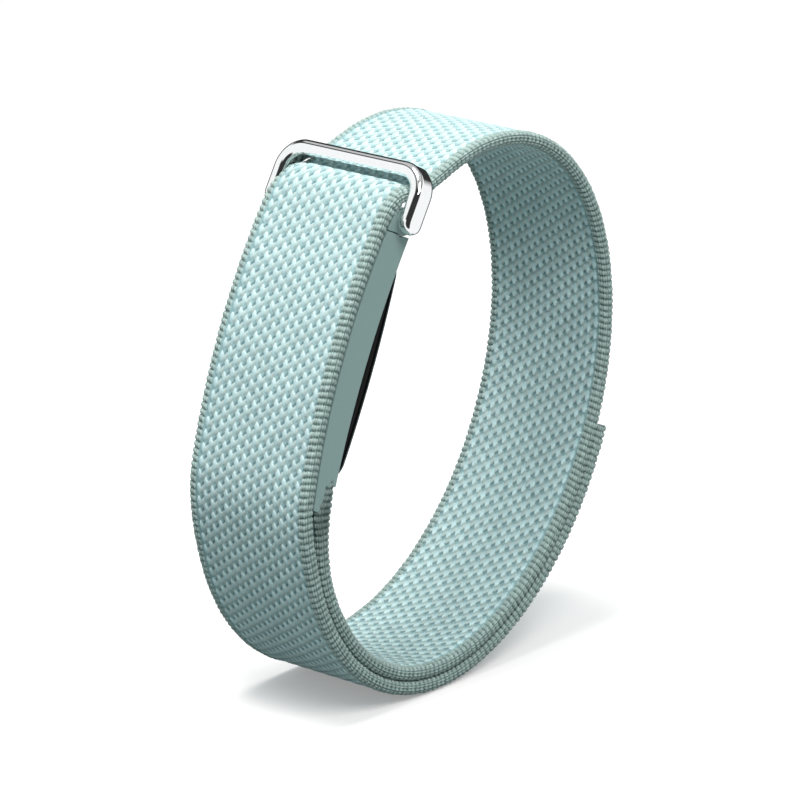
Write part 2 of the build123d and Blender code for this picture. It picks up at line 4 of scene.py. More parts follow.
import bpy
import numpy as np
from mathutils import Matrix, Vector


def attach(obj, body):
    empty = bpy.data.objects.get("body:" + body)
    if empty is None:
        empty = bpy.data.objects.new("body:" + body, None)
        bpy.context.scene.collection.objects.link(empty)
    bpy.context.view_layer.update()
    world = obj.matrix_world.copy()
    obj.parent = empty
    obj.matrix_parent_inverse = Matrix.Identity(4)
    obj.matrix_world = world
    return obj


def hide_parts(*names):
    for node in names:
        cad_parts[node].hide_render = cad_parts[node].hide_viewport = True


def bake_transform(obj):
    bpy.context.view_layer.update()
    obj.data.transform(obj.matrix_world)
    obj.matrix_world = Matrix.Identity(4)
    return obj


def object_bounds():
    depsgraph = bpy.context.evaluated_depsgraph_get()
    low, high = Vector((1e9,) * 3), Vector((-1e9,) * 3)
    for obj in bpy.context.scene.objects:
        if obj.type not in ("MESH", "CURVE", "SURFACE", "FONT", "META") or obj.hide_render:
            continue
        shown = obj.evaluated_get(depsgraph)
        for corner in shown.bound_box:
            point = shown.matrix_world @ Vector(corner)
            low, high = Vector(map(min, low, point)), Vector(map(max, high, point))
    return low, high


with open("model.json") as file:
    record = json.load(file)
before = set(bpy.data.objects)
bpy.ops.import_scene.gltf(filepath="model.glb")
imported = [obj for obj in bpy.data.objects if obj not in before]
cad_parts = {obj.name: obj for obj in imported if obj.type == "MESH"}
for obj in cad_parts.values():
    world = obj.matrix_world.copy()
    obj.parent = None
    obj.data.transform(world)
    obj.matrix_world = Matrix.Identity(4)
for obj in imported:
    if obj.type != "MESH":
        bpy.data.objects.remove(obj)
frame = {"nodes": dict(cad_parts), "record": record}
cad_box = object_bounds()

# Fitness tracker band. Lengths are millimetres in the row frame until a mesh is made.
# n points from the pod towards the wrist and u up along the pod, both in the YZ plane.
MM = 0.001
LEAN = math.radians(24)
ACROSS = np.array([1.0, 0.0, 0.0])
NORMAL = np.array([0.0, math.cos(LEAN), -math.sin(LEAN)])
ALONG = np.array([0.0, math.sin(LEAN), math.cos(LEAN)])

# ---------------------------------------------------------------- sizes shared with the solids
STRAP_WIDTH = 21.6
STRAP_THICKNESS = 1.85
HALF = STRAP_THICKNESS / 2
LAYER_GAP = 0.25                        # between layers of the strap, and under the ring's bar
WRIST = (56.2 / 2, 74.0 / 2)            # half axes of the wrist oval, along n and u
CROWN = WRIST[0] + 0.58                 # pod's crown, out from the wrist's centre
CASE_RADIUS = 96.7                      # of the case's curved front
POD_RADIUS = CASE_RADIUS + 0.3 + HALF   # of the strap's centre line over the pod
POD_CENTRE = (CASE_RADIUS - CROWN, 2.0)
HINGE = (-24.15, 21.15)                 # ring's hinge, in (n, u)
RING_DEPTH = 3.3
RING_BAR = 2.15
RING_REACH = 5.875                      # hinge to the top bar's underside
RING_INNER = STRAP_WIDTH / 2 + 0.3      # half the window's width
RING_CORNER = 4.4 - RING_BAR / 2        # of the bar's centre line

# ---------------------------------------------------------------- the strap's route
RING_FRONT = HINGE[0] - RING_DEPTH / 2
UNDER_BAR = HINGE[1] + RING_REACH - LAYER_GAP - HALF
WEDGE_TIP = (-24.3, -14.8)              # the strap's end thins out over the case's side
INNER_END = (-24.2, -15.7)
INNER_START_WAY = np.array([0.1, -1.0])
INNER_ANGLES = (232, 478)               # round the wrist, in degrees from +n
POD_TOP, POD_BOTTOM = HINGE[1] - 2.7, -17.0
OUTER_START_ANGLE = 227
OUTER_OFFSET = STRAP_THICKNESS + LAYER_GAP + HALF
FOLD_BULGE = 0.44                       # how far the fold stays behind the pod's curve
SEAM_ANGLE = 318.0                      # the tail's mesh starts here
TAIL_END_ANGLE = 364.6


def oval(offset, start, end):
    """Points of the wrist oval grown by an offset, in (n, u)."""
    angles = np.radians(np.linspace(start, end, 400))
    return np.stack([(WRIST[0] + offset) * np.cos(angles),
                     (WRIST[1] + offset) * np.sin(angles)], 1)


def over_pod(top, bottom):
    """Points of the strap's centre line over the pod."""
    u = np.linspace(top, bottom, 300)
    n = POD_CENTRE[0] - np.sqrt(POD_RADIUS ** 2 - (u - POD_CENTRE[1]) ** 2)
    return np.stack([n, u], 1)


def heading(points, end):
    """Unit direction of travel at the start (0) or the end (-1) of a line of points."""
    step = points[1] - points[0] if end == 0 else points[-1] - points[-2]
    return step / np.linalg.norm(step)


def spline(points, first, last):
    """Points of the smooth curve through some points, with given directions at its ends."""
    points = np.array(points, float)
    gaps = np.linalg.norm(np.diff(points, axis=0), axis=1)
    slopes = np.diff(points, axis=0) / gaps[:, None]
    size = len(points)
    system, target = np.zeros((size, size)), np.zeros((size, 2))
    system[0, 0], target[0] = 1, first
    system[-1, -1], target[-1] = 1, last
    for i in range(1, size - 1):
        system[i, i - 1:i + 2] = gaps[i], 2 * (gaps[i - 1] + gaps[i]), gaps[i - 1]
        target[i] = 3 * (gaps[i] * slopes[i - 1] + gaps[i - 1] * slopes[i])
    speeds = np.linalg.solve(system, target)
    out = []
    t = np.linspace(0, 1, 120)[:, None]
    for i in range(size - 1):
        out.append((1 + 2 * t) * (1 - t) ** 2 * points[i]
                   + t * (1 - t) ** 2 * gaps[i] * speeds[i]
                   + t ** 2 * (3 - 2 * t) * points[i + 1]
                   + t ** 2 * (t - 1) * gaps[i] * speeds[i + 1])
    return np.concatenate(out)


# round the wrist, up to the ring, over and back under its bar, down the pod and round again
inner_arc = oval(HALF, *INNER_ANGLES)
pod_arc = over_pod(POD_TOP, POD_BOTTOM)
outer_arc = oval(OUTER_OFFSET, OUTER_START_ANGLE, TAIL_END_ANGLE)
fold_n = POD_CENTRE[0] - math.sqrt(POD_RADIUS ** 2 - (HINGE[1] - POD_CENTRE[1]) ** 2) + FOLD_BULGE
route = np.concatenate([
    [WEDGE_TIP],
    spline([INNER_END, inner_arc[0]], INNER_START_WAY / np.linalg.norm(INNER_START_WAY),
           heading(inner_arc, 0)),
    inner_arc,
    spline([inner_arc[-1],
            (HINGE[0] + 3.2, UNDER_BAR + 1.1),
            (HINGE[0] + 1.2, UNDER_BAR - 0.35),
            (HINGE[0] - 0.5, UNDER_BAR - 0.6),
            (RING_FRONT - 0.8, UNDER_BAR - 1.2),
            (fold_n, UNDER_BAR - 2.8),
            pod_arc[0]], heading(inner_arc, -1), heading(pod_arc, 0)),
    pod_arc,
    spline([pod_arc[-1], outer_arc[0]], heading(pod_arc, -1), heading(outer_arc, 0)),
    outer_arc])
steps = np.linalg.norm(np.diff(route, axis=0), axis=1)
route = route[np.concatenate([[True], steps > 1e-6])]
travelled = np.concatenate([[0], np.cumsum(np.linalg.norm(np.diff(route, axis=0), axis=1))])
route_length = travelled[-1]


def nearest_travel(point):
    """Length along the route of the place nearest to a point."""
    return travelled[np.argmin(np.linalg.norm(route - np.array(point), axis=1))]


under_bar = nearest_travel((HINGE[0] + 0.3, UNDER_BAR - 0.4))
crest_at = nearest_travel((RING_FRONT - 0.8, UNDER_BAR - 1.2))
fold_at = nearest_travel((fold_n, UNDER_BAR - 2.5))


def on_outer_layer(angle):
    """A place on the outer layer's centre line, in (n, u)."""
    a = math.radians(angle)
    return np.array([(WRIST[0] + OUTER_OFFSET) * math.cos(a),
                     (WRIST[1] + OUTER_OFFSET) * math.sin(a)])


def at_angle(angle):
    """Length along the route of a place on the outer layer."""
    late = travelled > route_length / 2
    gaps = np.linalg.norm(route[late] - on_outer_layer(angle), axis=1)
    return travelled[late][np.argmin(gaps)]


def along_route(s):
    """Centre points and outward directions at some lengths along the route."""
    def place(lengths):
        return np.stack([np.interp(lengths, travelled, route[:, k]) for k in (0, 1)], 1)

    way = place(s + 0.05) - place(s - 0.05)
    way /= np.linalg.norm(way, axis=1)[:, None]
    return place(s), np.stack([way[:, 1], -way[:, 0]], 1)


# ---------------------------------------------------------------- the knit
COLUMN = 1.262              # from one column of stitches to the next
PITCH = 1.80                # from one stitch to the next in a column
COLUMNS = 15
BODY_HALF = COLUMN * COLUMNS / 2
RIB = PITCH / 2             # selvedge ribs along the strap
BEAD = 0.37                 # loops across a rib
RIB_SLANT = 0.16
RIB_RISE = 0.25             # how far a rib's loops stand up, and how much that varies
RIB_RISE_VARIES = 0.07

# knit colours, from the tip of a loop to the gaps, several of them painted highlight and painted
# shade
# TIP_HIGHLIGHT is a painted highlight on the crest of a loop, and MINT_SHADED is mint in painted
# shade at its foot
TIP_HIGHLIGHT = np.array([0.80, 0.95, 0.95])
MINT = np.array([0.58, 0.77, 0.78])
MINT_SHADED = np.array([0.43, 0.62, 0.64])
BEIGE = np.array([0.560, 0.675, 0.650])
# BEIGE_SHADED is BEIGE in painted shade, for the lower slanted strand
BEIGE_SHADED = np.array([0.390, 0.510, 0.495])
# UNDER_SHADED is the teal of the yarns lying deeper, partly their own colour and partly painted
# shade
UNDER_SHADED = np.array([0.320, 0.475, 0.485])
# GAP_SHADE is painted shade, the dark of the holes between stitches
GAP_SHADE = np.array([0.135, 0.240, 0.260])
EDGE = np.array([0.44, 0.54, 0.505])
# EDGE_GAP_SHADE is painted shade in the gaps between the edge's loops
EDGE_GAP_SHADE = np.array([0.13, 0.20, 0.19])

# tones multiply those colours: the least, and how much may be added. Stitch and rib tones vary at
# random; STRAND_SHADING is painted shade, darker at a strand's rim and lighter on its crown
STITCH_TONES = (0.93, 0.14)
STRAND_SHADING = (0.84, 0.22)
RIB_TONES = (0.90, 0.22)

FLOOR = -0.17               # how deep the gaps between the yarns are
STRAY_ACROSS, STRAY_ALONG = 0.06, 0.08          # how far stitches lie from an even grid
SLANT = 0.93                # the slanted strands' angle, in radians
HOLE = ((0.60, 0.50), SLANT, 0.46, 0.27)        # centre, angle, half length, half width
# slanted strands: centre, half length, half width, foot and rise over the floor, colour
STRANDS = (((0.66, -0.03), 0.78, 0.26, 0.030, 0.11, BEIGE),
           ((0.99, -0.42), 0.66, 0.25, 0.015, 0.09, BEIGE_SHADED),
           ((0.28, 0.62), 0.45, 0.20, 0.000, 0.07, UNDER_SHADED))
STRAND_TURN = 0.12          # how much their angles vary
# the light loop, along the strap from its stitch
DASH_FOOT, DASH_TIP, DASH_BELLY = -0.95, 0.66, 0.02
DASH_HALF = 0.40            # half its width
DASH_LEAN = 0.07
DASH_FOOT_RISE, DASH_CLIMB = 0.07, 0.07         # its foot over the floor, and on to its tip
DASH_ROUND, DASH_ROUND_MORE = 0.05, 0.05        # its roundness at the foot, and on to its tip
HIGHLIGHT_FROM = 0.42            # up to here a loop goes from MINT_SHADED to MINT, and then to TIP_HIGHLIGHT
HIGHLIGHT_OVER = 0.5


def chance(i, j, salt):
    """A number from 0 to 1 that belongs to a stitch."""
    value = np.sin(i * 127.1 + j * 311.7 + salt * 74.7) * 43758.5453
    return value - np.floor(value)


def strand(a, b, centre, angle, half_length, half_width):
    """Roundness of a short strand, from 0 at its rim to 1, and where along it a point is."""
    c, s = np.cos(angle), np.sin(angle)
    da, db = a - centre[0], b - centre[1]
    v = (da * c + db * s) / half_length
    w = (-da * s + db * c) / half_width
    rim = np.clip(1 - np.abs(v) ** 2.6, 0, 1)
    return np.sqrt(np.clip(1 - w ** 2 / (rim + 1e-6), 0, 1)) * np.sqrt(rim), v


def dash(a, b):
    """Roundness of the light loop, wide in the middle with a pointed tip, and how far up it is."""
    b = b - DASH_LEAN * a
    rising = np.clip((b - DASH_FOOT) / (DASH_BELLY - DASH_FOOT), 0, 1)
    falling = np.clip((DASH_TIP - b) / (DASH_TIP - DASH_BELLY), 0, 1)
    foot = DASH_HALF * (1 - 0.42 * (1 - rising) ** 1.4) * np.sqrt(np.sqrt(rising))
    width = np.where(b < DASH_BELLY, foot, DASH_HALF * falling ** 0.75)
    width = np.where((b > DASH_FOOT) & (b < DASH_TIP), width, 1e-6)
    round_off = np.sqrt(np.clip(1 - (a / width) ** 2, 0, 1))
    return round_off, np.clip((b - DASH_FOOT) / (DASH_TIP - DASH_FOOT), 0, 1)


def knit(x, s):
    """Height and colour of the knit body at x across and s along the strap; the colour holds
    painted highlights and painted shade.
    """
    height = np.full(x.shape, FLOOR)
    # the knit starts as UNDER_SHADED, partly painted shade, where no yarns lie over it
    colour = np.tile(UNDER_SHADED, x.shape + (1,))
    column = np.round(x / COLUMN)

    def lay(here, level, shade):
        """Puts a strand of the knit where it is higher than what lies there."""
        nonlocal height, colour
        higher = here & (level > height)
        height = np.where(higher, level, height)
        colour = np.where(higher[..., None], shade, colour)

    for di in (-1, 0, 1):
        i = column + di
        real = np.abs(i) <= (COLUMNS - 1) // 2
        shift = PITCH / 2 * np.mod(i, 2)
        line = np.round((s - shift) / PITCH)
        for dj in (-1, 0, 1):
            j = line + dj
            a = x - i * COLUMN - STRAY_ACROSS * (chance(i, j, 1) - 0.5)
            b = -(s - shift - j * PITCH) - STRAY_ALONG * (chance(i, j, 2) - 0.5)
            tone = (STITCH_TONES[0] + STITCH_TONES[1] * chance(i, j, 3))[..., None]
            # painted shade: the floor in the hole beside each stitch darkens towards GAP_SHADE
            hole = strand(a, b, *HOLE)[0] * real
            colour = colour + (GAP_SHADE - colour) * (hole * (height < FLOOR + 1e-6))[..., None]
            round_off, t = dash(a, b)
            level = (FLOOR + DASH_FOOT_RISE + DASH_CLIMB * t
                     + (DASH_ROUND + DASH_ROUND_MORE * t) * round_off)
            # painted highlight and painted shade: each loop goes from dark mint at its foot to near
            # white at its tip
            pale = np.clip((t - HIGHLIGHT_FROM) / HIGHLIGHT_OVER, 0, 1)[..., None]
            low = np.clip(t / HIGHLIGHT_FROM, 0, 1)[..., None]
            lay((round_off > 0) & real, level,
                (MINT_SHADED + (MINT - MINT_SHADED) * low + (TIP_HIGHLIGHT - MINT) * pale) * tone)
            turn = STRAND_TURN * (chance(i, j, 4) - 0.5)
            for centre, length, width, foot, rise, shade in STRANDS:
                round_off, v = strand(a, b, centre, SLANT + turn, length, width)
                level = FLOOR + foot + rise * round_off * (1 - 0.3 * v ** 2)
                # painted shade and painted highlight across each strand, from its rim to its crown
                round_shading = (STRAND_SHADING[0] + STRAND_SHADING[1] * round_off)[..., None]
                lay((round_off > 0) & real, level, shade * round_shading * tone)
    return height, colour


def selvedge(e, s):
    """Height and colour of the edge, at e beyond the body along the strap's outline."""
    slid = s + RIB_SLANT * e
    rib = np.round(slid / RIB)
    loop = np.floor(e / BEAD)
    b = (slid - rib * RIB) / RIB * 2 + 0.24 * (chance(rib, loop, 5) - 0.5)
    a = (e - (loop + 0.5) * BEAD) / BEAD * 2
    round_off = np.sqrt(np.clip(1 - np.abs(a) ** 2.2 - np.abs(b * 1.08) ** 2.6, 0, 1))
    height = FLOOR + (RIB_RISE + RIB_RISE_VARIES * chance(rib, loop, 7)) * round_off
    tone = RIB_TONES[0] + RIB_TONES[1] * chance(rib, loop, 6)
    # painted shade: each loop of the edge darkens from its crown to its rim and into the gaps
    shade = EDGE_GAP_SHADE + (EDGE - EDGE_GAP_SHADE) * np.clip(round_off * 1.35, 0, 1)[..., None]
    return height, shade * tone[..., None]


# ---------------------------------------------------------------- the strap's section
EDGE_ROUND = 0.84           # rounding of the strap's edges
STEP = 0.155                # mesh spacing
EDGE_STEP = 0.105
HIDDEN_STEP = STEP * 2.6    # on a face that lies on another layer
OVERLAP = 0.1               # of the edge's mesh columns onto the knit body
WEDGE_LENGTH = 3.4
WEDGE_LEFT = 0.12           # share of the thickness left at the wedge's tip
FOLD_FILL = 0.95            # the gathered inside of the fold at the ring
FOLD_SPREAD = 1.5
DRAWN_FROM = 6.5            # the strap's edges are drawn in and down where it leaves the ring
DRAWN_IN = 0.4
DRAWN_DOWN = 1.1
CREST_SPREAD = 2.6
END_SWELL = 0.95            # the sewn end is thicker at its edges, over the case's side
END_SWELL_AT = 4.6
END_SWELL_SPREAD = 2.3
END_PAINTED_SHADE = 0.5             # painted shade, darker at the edges there, where the outer layer shadows the inner one
END_PAINTED_SHADE_SPREAD = 5.5
END_PAINTED_SHADE_EDGE = 0.9        # beyond the knit body
END_PAINTED_SHADE_FACE = -0.35      # and above this height in the section
END_LENGTH = 20             # stretch of the strap that this end can reach
PATCH_ANGLES = (338.0, 361.5)
PATCH_HALF = STRAP_WIDTH / 2 - 2.0
PATCH_SUNK = -0.45
HOOK_STEP = 0.13            # mesh spacing of the hook tape
HOOK_PITCH = (0.75, 0.7)    # along the strap and across it
HOOK_RADIUS = (0.24, 0.2)
HOOK_HEIGHT = 0.22
HOOK_FOOT = 0.26            # depth of the hooks' feet below the strap's face
TAPE_HALF = PATCH_HALF - 0.1
TAPE_RIM = 0.3              # plain rim of the tape, and its depth
TAPE_RIM_DEPTH = 0.22


def outline(coarse_below):
    """Section of the strap: points (x, h) and outward directions."""
    flat = STRAP_WIDTH / 2 - EDGE_ROUND
    side = HALF - EDGE_ROUND
    turn = np.linspace(0, np.pi / 2, int(EDGE_ROUND * np.pi / 2 / EDGE_STEP) + 1)[1:-1]
    knitted = BODY_HALF - OVERLAP
    band = np.linspace(knitted, flat, int((flat - BODY_HALF + OVERLAP) / EDGE_STEP) + 2)[1:]

    def face(step):
        middle = np.linspace(-knitted, knitted, int(2 * BODY_HALF / step))
        return np.concatenate([-band[::-1], middle, band])

    below = face(HIDDEN_STEP if coarse_below else STEP)[::-1]
    rows = [(x, HALF, 0.0, 1.0) for x in face(STEP)]
    rows += [(flat + EDGE_ROUND * np.sin(t), side + EDGE_ROUND * np.cos(t),
              np.sin(t), np.cos(t)) for t in turn]
    rows += [(STRAP_WIDTH / 2, h, 1.0, 0.0) for h in (side, -side)]
    rows += [(flat + EDGE_ROUND * np.cos(t), -side - EDGE_ROUND * np.sin(t),
              np.cos(t), -np.sin(t)) for t in turn]
    rows += [(x, -HALF, 0.0, -1.0) for x in below]
    rows += [(-flat - EDGE_ROUND * np.sin(t), -side - EDGE_ROUND * np.cos(t),
              -np.sin(t), -np.cos(t)) for t in turn]
    rows += [(-STRAP_WIDTH / 2, h, -1.0, 0.0) for h in (-side, side)]
    rows += [(-flat - EDGE_ROUND * np.cos(t), side + EDGE_ROUND * np.sin(t),
              -np.cos(t), np.sin(t)) for t in turn]
    return np.array(rows)


def grid_mesh(name, points, closed, attributes):
    """A mesh of quads over a grid of points in metres, with point attributes and flat ends."""
    rows, around = points.shape[:2]
    index = np.arange(rows * around).reshape(rows, around)
    near = index if closed else index[:, :-1]
    nxt = np.roll(index, -1, axis=1) if closed else index[:, 1:]
    quads = np.stack([near[:-1], nxt[:-1], nxt[1:], near[1:]], -1).reshape(-1, 4)
    ends = 2 if closed else 0
    mesh = bpy.data.meshes.new(name)
    mesh.vertices.add(rows * around)
    mesh.vertices.foreach_set("co", points.reshape(-1).astype(np.float32))
    faces = len(quads)
    loops = [quads.reshape(-1)] + ([index[0][::-1], index[-1]] if closed else [])
    mesh.loops.add(faces * 4 + ends * around)
    mesh.loops.foreach_set("vertex_index", np.concatenate(loops).astype(np.int32))
    mesh.polygons.add(faces + ends)
    starts = np.concatenate([np.arange(faces) * 4, faces * 4 + np.arange(ends) * around])
    mesh.polygons.foreach_set("loop_start", starts.astype(np.int32))
    mesh.update(calc_edges=True)
    mesh.validate()
    mesh.polygons.foreach_set("use_smooth", np.ones(len(mesh.polygons), bool))
    for label, values in attributes.items():
        made = mesh.attributes.new(label, "FLOAT_COLOR", "POINT")
        rgba = np.concatenate([values.reshape(-1, 3), np.ones((rows * around, 1))], 1)
        made.data.foreach_set("color", rgba.reshape(-1).astype(np.float32))
    piece = bpy.data.objects.new(name, mesh)
    bpy.context.scene.collection.objects.link(piece)
    return piece


def in_row_frame(x, flat):
    """Points in metres from x and (n, u)."""
    return (x[..., None] * ACROSS + flat[..., :1] * NORMAL + flat[..., 1:] * ALONG) * MM


def strap_mesh(name, first, last, coarse_below=False, patch=None):
    """A stretch of the strap between two lengths along the route, with the knit in relief."""
    x, h, dx, dh = outline(coarse_below).T
    s = np.linspace(first, last, max(2, int(round((last - first) / STEP))))
    centre, out = along_route(s)
    grid_s, grid_x = np.meshgrid(s, x, indexing="ij")
    off_centre = np.abs(grid_x)

    def near(place, spread):
        """1 at a length along the route, falling smoothly to 0 away from it."""
        return np.exp(-((grid_s - place) / spread) ** 2)

    # distance round the edge beyond the knit body, the same on both faces
    bend = np.arctan2(np.abs(dx), np.abs(dh)) * EDGE_ROUND
    edge = np.minimum(off_centre, STRAP_WIDTH / 2 - EDGE_ROUND) - BODY_HALF + bend[None, :]
    face = np.where(h > 0, 1.0, -1.0)[None, :]
    body_height, body_colour = knit(grid_x * face, grid_s)
    edge_height, edge_colour = selvedge(np.clip(edge, 0, None), grid_s)
    height = np.where(edge > 0, edge_height, body_height)
    colour = np.where((edge > 0)[..., None], edge_colour, body_colour)
    if patch:
        # the hook tape lies here, so the knit is sunk under it
        along_patch = (grid_s > patch[0]) & (grid_s < patch[1])
        height = np.where((face < 0) & along_patch & (off_centre < PATCH_HALF), PATCH_SUNK, height)

    wedge = np.sin(np.clip(grid_s / WEDGE_LENGTH, 0, 1) * np.pi / 2)
    thin = WEDGE_LEFT + (1 - WEDGE_LEFT) * wedge
    full = FOLD_FILL * near(fold_at, FOLD_SPREAD) * (h < 0)
    swollen = END_SWELL * near(END_SWELL_AT, END_SWELL_SPREAD)
    swollen = swollen * (h > 0) * np.clip((off_centre - BODY_HALF) * 2, 0, 1)
    outer = np.clip((off_centre - DRAWN_FROM) / (STRAP_WIDTH / 2 - DRAWN_FROM), 0, 1)
    drawn = outer ** 2 * near(crest_at, CREST_SPREAD)
    across = grid_x + dx * height - np.sign(grid_x) * DRAWN_IN * drawn
    outward = (h + dh * height) * thin * (1 + full) + swollen - DRAWN_DOWN * drawn

    # painted shade on the edges of the sewn end, in the shadow between the layers
    painted_shade = END_PAINTED_SHADE * near(END_SWELL_AT, END_PAINTED_SHADE_SPREAD) * (grid_s < END_LENGTH)
    painted_shade = painted_shade * (edge > END_PAINTED_SHADE_EDGE) * (h > END_PAINTED_SHADE_FACE)
    colour = colour * (1 - painted_shade)[..., None]
    flat = centre[:, None, :] + out[:, None, :] * outward[..., None]
    # the colour attribute holds the knit's colours with their painted highlights and painted shade
    return grid_mesh(name, in_row_frame(across, flat), True, {"yarn_and_light": colour})


def hook_tape(name, first, last):
    """The tape of small hooks on the inside of the tail."""
    s = np.arange(first, last, HOOK_STEP)
    x = np.arange(-TAPE_HALF, TAPE_HALF + 0.01, HOOK_STEP)
    centre, out = along_route(s)
    grid_s, grid_x = np.meshgrid(s, x, indexing="ij")
    line = np.round(grid_s / HOOK_PITCH[0])
    half_pitch = HOOK_PITCH[1] / 2
    beside = np.mod(grid_x + half_pitch * np.mod(line, 2), HOOK_PITCH[1]) - half_pitch
    stem = np.hypot((grid_s - line * HOOK_PITCH[0]) / HOOK_RADIUS[0], beside / HOOK_RADIUS[1])
    height = HALF - HOOK_FOOT + HOOK_HEIGHT * np.sqrt(np.clip(1 - stem ** 2, 0, 1))
    rim = np.minimum.reduce([grid_s - first, last - grid_s, PATCH_HALF - np.abs(grid_x)])
    height = np.where(rim < TAPE_RIM, HALF - TAPE_RIM_DEPTH, height)
    flat = centre[:, None, :] - out[:, None, :] * height[..., None]
    return grid_mesh(name, in_row_frame(grid_x, flat), False, {})


# ---------------------------------------------------------------- the ring
RING_EDGE = 0.8             # rounding of its edges
RING_LEAN = 0.8             # how far the legs' ends stand out from the top bar
FLAT_INSET = 0.04           # a narrow row of faces beside each rounding keeps the flats flat


def ring_stations():
    """Places along the ring's centre line: x, u, outward direction, half depth, half bar."""
    half_x, top = RING_INNER + RING_BAR / 2, HINGE[1] + RING_REACH + RING_BAR / 2
    drop = RING_DEPTH / 2
    fall = drop * np.cos(np.linspace(0, np.pi / 2, 22))
    legs = np.concatenate([HINGE[1] - fall[:-1], np.linspace(HINGE[1], top - RING_CORNER, 12)])
    turn = np.linspace(np.pi, np.pi / 2, 26)[1:-1]
    left = [(-half_x, u, -1.0, 0.0) for u in legs]
    left += [(-half_x + RING_CORNER * (1 + np.cos(t)), top - RING_CORNER * (1 - np.sin(t)),
              np.cos(t), np.sin(t)) for t in turn]
    bar = [(x, top, 0.0, 1.0) for x in np.linspace(RING_CORNER - half_x, 0, 10)]
    left = np.array(left + bar)
    right = left[-2::-1] * (-1, 1, -1, 1)
    places = np.concatenate([left, right])
    below = np.clip(HINGE[1] - places[:, 1], 0, drop)
    depth = np.sqrt(np.clip(drop ** 2 - below ** 2, 1e-4, None))
    depth = np.where(below > 0, depth, drop)
    lost = np.clip(below - drop + RING_EDGE, 0, RING_EDGE)
    bar = RING_BAR / 2 - RING_EDGE + np.sqrt(np.clip(RING_EDGE ** 2 - lost ** 2, 0, None))
    return places, depth, bar


def ring_mesh(name):
    """The ring swept along its centre line, with rounded edges and round lower ends."""
    places, depth, bar = ring_stations()
    turn = np.concatenate([[0], np.linspace(0, np.pi / 2, 11), [np.pi / 2]])
    bar_inset, depth_inset = np.zeros(len(turn)), np.zeros(len(turn))
    bar_inset[-1] = depth_inset[0] = FLAT_INSET
    top = places[:, 1].max()
    rows = []
    for (x, u, out_x, out_u), d, b in zip(places, depth, bar):
        edge = min(RING_EDGE, d * 0.98, b * 0.98)
        along_bar = (b - edge) + edge * np.cos(turn) - bar_inset
        along_n = (d - edge) + edge * np.sin(turn) - depth_inset
        corner = np.stack([along_bar, along_n], 1)
        loop = np.concatenate([corner, corner[::-1] * (-1, 1), corner * (-1, -1),
                               corner[::-1] * (1, -1)])
        lean = RING_LEAN * min(1, (top - u) / (top - HINGE[1]))
        rows.append(np.stack([x + out_x * loop[:, 0], HINGE[0] - lean + loop[:, 1],
                              u + out_u * loop[:, 0]], 1))
    points = np.array(rows)
    return grid_mesh(name, in_row_frame(points[..., 0], points[..., 1:]), True, {})


# ---------------------------------------------------------------- materials
RELIEF = 0.02 * MM          # depth of the fine relief at full strength
FIBRE_RELIEF = 0.03 * MM
COAT_ROUGHNESS = 0.05
BRUSHED = (60, 1, 1)        # noise stretched into brush marks


def material(name):
    """A new material with its tree and its shader."""
    made = bpy.data.materials.new(name)
    made.use_nodes = True
    return made, made.node_tree, made.node_tree.nodes["Principled BSDF"]


def placed(tree, stretch=(1, 1, 1)):
    """Coordinates in the object's own metres, stretched."""
    place = tree.nodes.new("ShaderNodeTexCoord")
    mapping = tree.nodes.new("ShaderNodeMapping")
    mapping.inputs["Scale"].default_value = stretch
    tree.links.new(place.outputs["Object"], mapping.inputs["Vector"])
    return mapping.outputs["Vector"]


def noise(tree, scale, detail=4.0, stretch=(1, 1, 1)):
    """Noise from 0 to 1."""
    texture = tree.nodes.new("ShaderNodeTexNoise")
    texture.inputs["Scale"].default_value = scale
    texture.inputs["Detail"].default_value = detail
    tree.links.new(placed(tree, stretch), texture.inputs["Vector"])
    return texture.outputs["Fac"]


def cells(tree, scale):
    """Distance to the nearest of many small cells."""
    texture = tree.nodes.new("ShaderNodeTexVoronoi")
    texture.inputs["Scale"].default_value = scale
    tree.links.new(placed(tree), texture.inputs["Vector"])
    return texture.outputs["Distance"]


def stripes(tree, scale, rings=False, stretch=(1, 1, 1), distortion=0.0):
    """Stripes or rings from 0 to 1."""
    texture = tree.nodes.new("ShaderNodeTexWave")
    texture.wave_type = "RINGS" if rings else "BANDS"
    texture.inputs["Scale"].default_value = scale
    texture.inputs["Distortion"].default_value = distortion
    tree.links.new(placed(tree, stretch), texture.inputs["Vector"])
    return texture.outputs["Fac"]


def ranged(tree, value, low, high, start=0.3, end=0.7):
    """A value spread between two numbers."""
    node = tree.nodes.new("ShaderNodeMapRange")
    node.inputs["From Min"].default_value = start
    node.inputs["From Max"].default_value = end
    node.inputs["To Min"].default_value = low
    node.inputs["To Max"].default_value = high
    tree.links.new(value, node.inputs["Value"])
    return node.outputs["Result"]


def mixed(tree, factor, first, second):
    """A colour between two colours."""
    node = tree.nodes.new("ShaderNodeMix")
    node.data_type = "RGBA"
    node.inputs["A"].default_value = (*first, 1)
    node.inputs["B"].default_value = (*second, 1)
    tree.links.new(factor, node.inputs["Factor"])
    return node.outputs["Result"]


def bumped(tree, shader, value, strength, distance):
    """Fine relief."""
    node = tree.nodes.new("ShaderNodeBump")
    node.inputs["Strength"].default_value = strength
    node.inputs["Distance"].default_value = distance
    tree.links.new(value, node.inputs["Height"])
    tree.links.new(node.outputs["Normal"], shader.inputs["Normal"])


